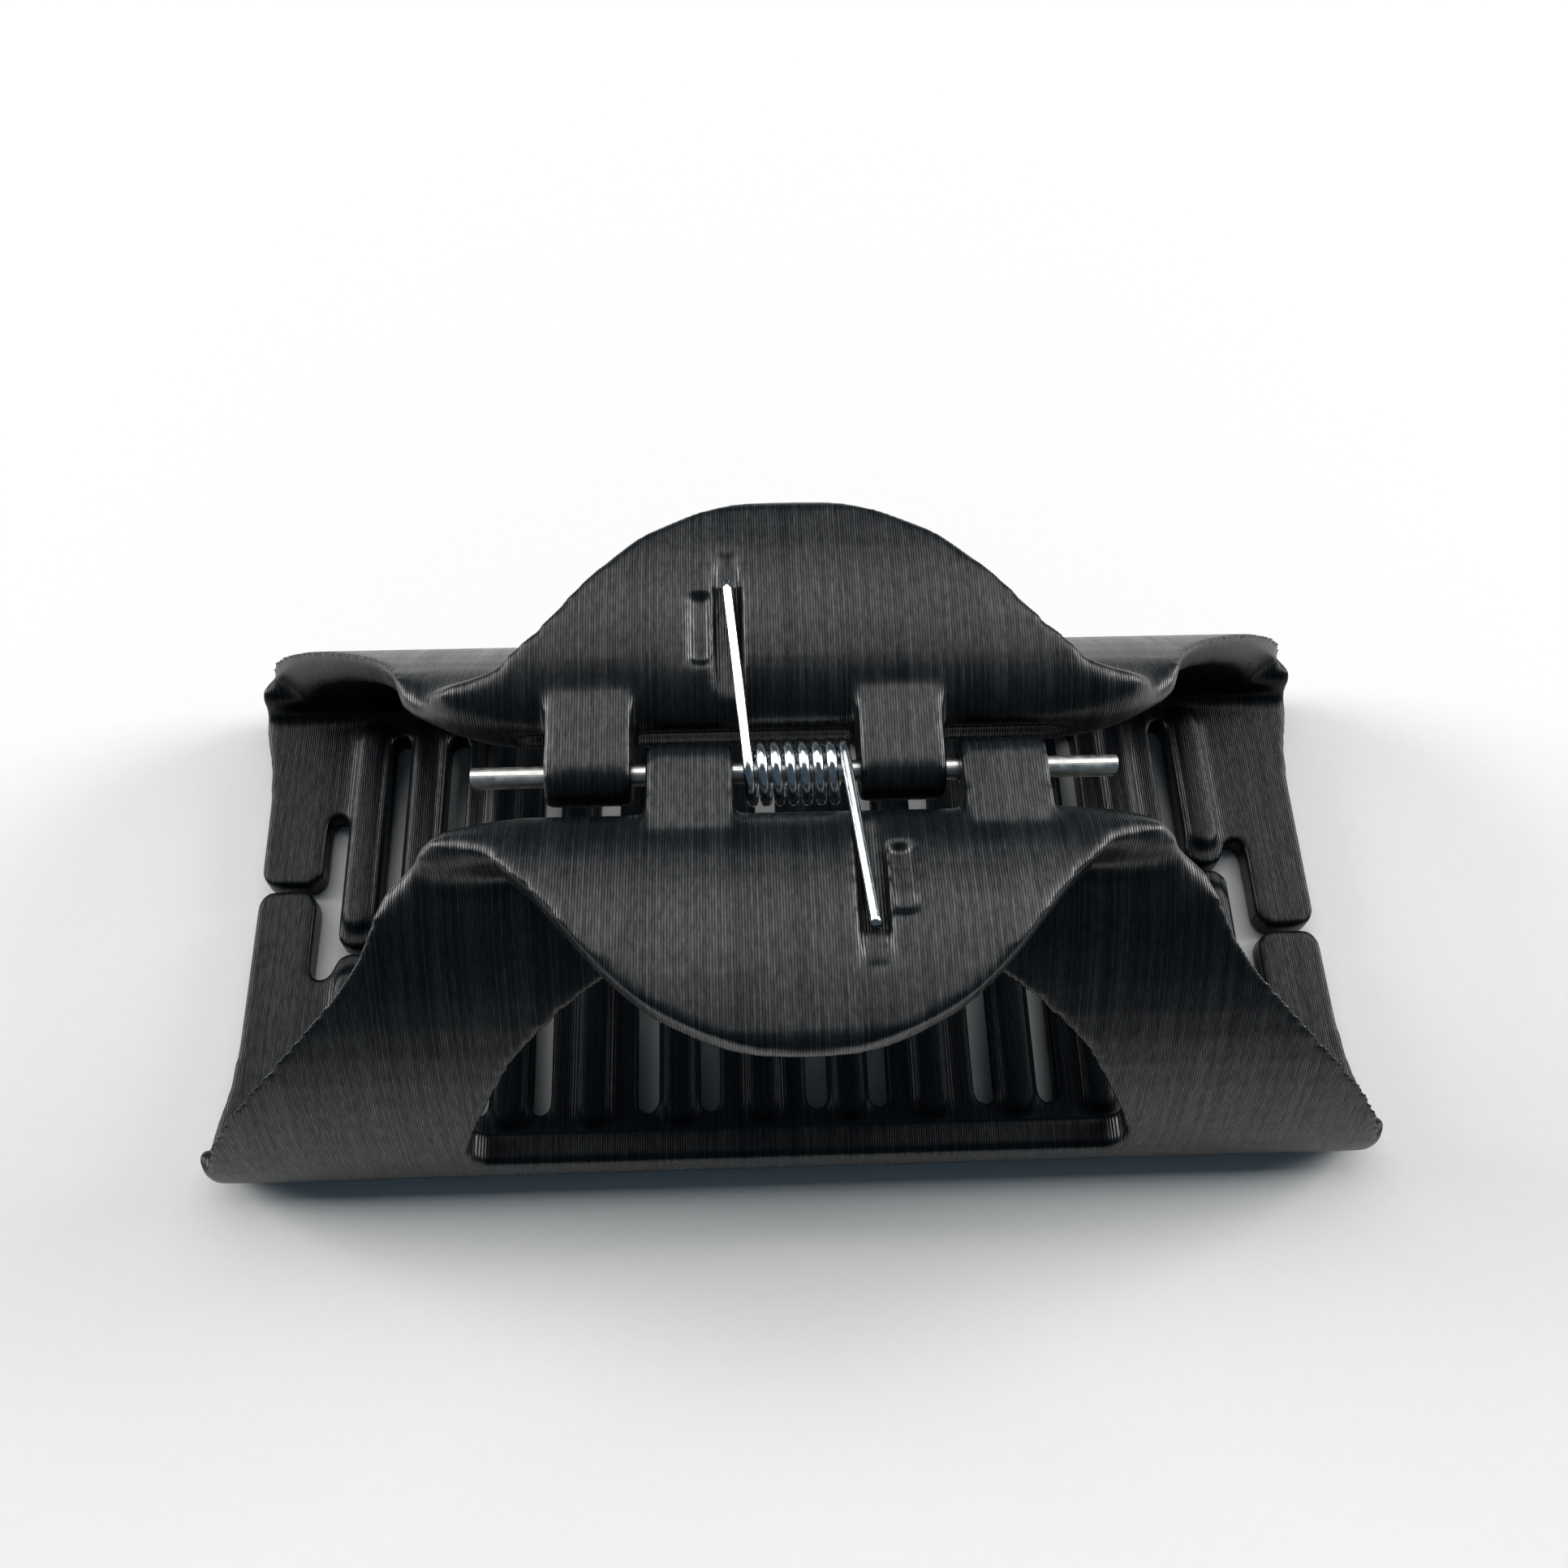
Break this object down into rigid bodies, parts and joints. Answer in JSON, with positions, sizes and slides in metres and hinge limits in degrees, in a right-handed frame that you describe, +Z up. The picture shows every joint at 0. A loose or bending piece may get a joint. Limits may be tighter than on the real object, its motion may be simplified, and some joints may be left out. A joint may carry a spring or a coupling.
{
  "type": "claw clip",
  "caption": "Large hair claw clip: two identical printed jaws with arched windows and comb teeth, hinged on a steel rod and shut by a torsion spring.",
  "frame": {"origin": "middle of the clip's footprint on the surface it stands on, directly under the middle of the hinge", "axes": "+X along the hinge, +Y towards the rear jaw, +Z up from the teeth to the hinge"},
  "size_m": [0.096, 0.0462, 0.0333],
  "materials": {
    "black_print": "black printed plastic, fine layer ridges at right angles to the hinge, silky sheen",
    "rod_steel": "bright drawn steel rod with fine lengthwise marks and cut ends",
    "spring_wire": "zinc-bright spring wire"
  },
  "bodies": {
    "front": {"front_jaw": "black_print", "hinge_rod": "rod_steel", "torsion_spring": "spring_wire"},
    "rear": {"rear_jaw": "black_print"}
  },
  "joints": [
    {"name": "hinge", "type": "hinge", "parent": "front", "child": "rear", "pos_m": [0, 0, 0.0287], "axis": [1, 0, 0], "range_deg": [0, 90], "stiffness_Nm_per_rad": 0.0435, "springref_deg": -40.11, "deforming": ["torsion_spring"]}
  ]
}
